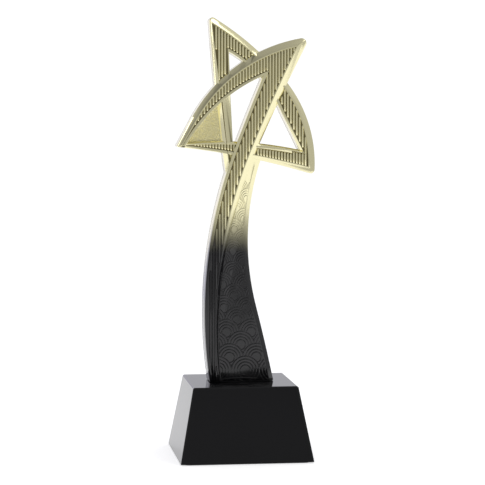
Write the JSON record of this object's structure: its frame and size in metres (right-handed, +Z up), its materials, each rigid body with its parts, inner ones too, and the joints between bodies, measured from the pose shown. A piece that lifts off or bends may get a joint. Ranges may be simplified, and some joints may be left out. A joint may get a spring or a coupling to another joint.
{
  "type": "star trophy",
  "caption": "Free-standing award: a folded-band star on a curved stem, plated pale gold fading to black, bolted to a black crystal block.",
  "frame": {"origin": "on the surface the trophy stands on, at the middle of the block's square underside", "axes": "+Z up the trophy, +X to the right of a person facing its ribbed front, which looks towards -Y"},
  "size_m": [0.0852, 0.0798, 0.2645],
  "materials": {
    "plated_gold": "pale champagne gold vacuum plating on moulded plastic, sprayed satin black towards the foot",
    "plated_back": "the same plating and black spray on the flush back cover",
    "black_crystal": "opaque black crystal glass, ground flat and polished",
    "plug_plastic": "black moulded plastic",
    "insert_brass": "turned brass with a knurled outside",
    "zinc_steel": "bright zinc-plated steel",
    "washer_fibre": "dark red vulcanised fibre",
    "gasket_foam": "thin black closed-cell foam",
    "pad_foam": "thin black closed-cell foam, faintly textured"
  },
  "bodies": {
    "root": {"figure_body": "plated_gold", "figure_back_cover": "plated_back", "foot_plug": "plug_plastic", "threaded_inserts": "insert_brass", "foot_gasket": "gasket_foam", "crystal_block": "black_crystal", "soft_washers": "washer_fibre", "flat_washers": "zinc_steel", "spring_washers": "zinc_steel", "clamp_bolts": "zinc_steel", "underside_pad": "pad_foam"}
  },
  "joints": []
}
